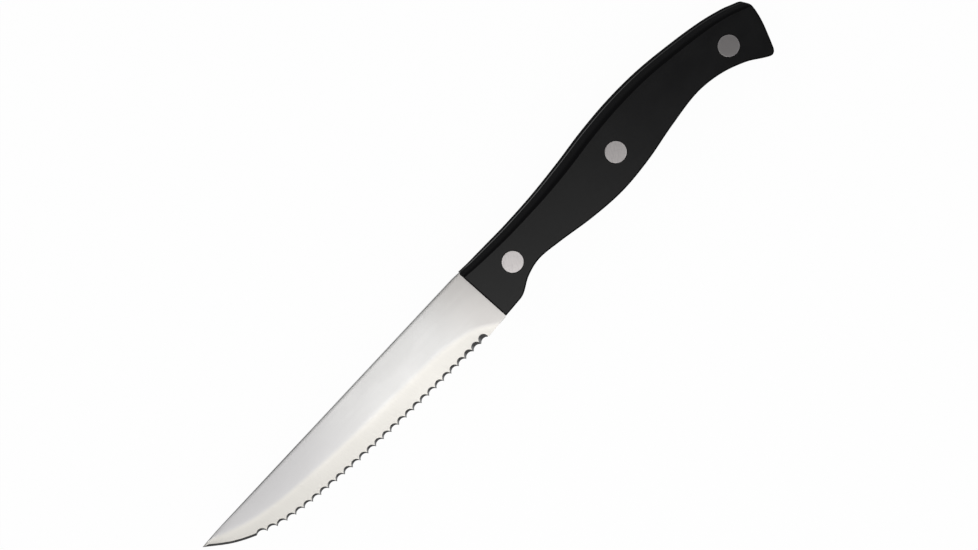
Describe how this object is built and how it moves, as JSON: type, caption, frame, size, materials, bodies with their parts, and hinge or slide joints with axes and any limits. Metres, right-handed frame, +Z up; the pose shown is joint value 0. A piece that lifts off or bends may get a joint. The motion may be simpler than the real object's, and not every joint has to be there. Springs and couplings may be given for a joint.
{
  "type": "steak knife",
  "caption": "Steak knife lying on its side, with a ground and serrated steel blade, a full tang and a black handle of riveted scales.",
  "frame": {"origin": "under the middle of the knife's bounding box, on the surface that its right scale lies on", "axes": "+X from the tip to the butt, +Y from the edge to the spine, +Z up through the handle's thickness, out of the left scale"},
  "size_m": [0.2346, 0.0258, 0.012],
  "materials": {
    "blade_steel": "fine satin on the flats, cross-ground and slightly warmer on the ground band, darker on the sharpened faces",
    "scale_plastic": "black moulded plastic, satin on the flat faces",
    "rivet_metal": "ground flush with the scales, fine straight scratches"
  },
  "bodies": {
    "root": {"blade": "blade_steel", "left_scale": "scale_plastic", "right_scale": "scale_plastic", "front_rivet_tube": "rivet_metal", "front_rivet_post": "rivet_metal", "middle_rivet_tube": "rivet_metal", "middle_rivet_post": "rivet_metal", "rear_rivet_tube": "rivet_metal", "rear_rivet_post": "rivet_metal"}
  },
  "joints": []
}
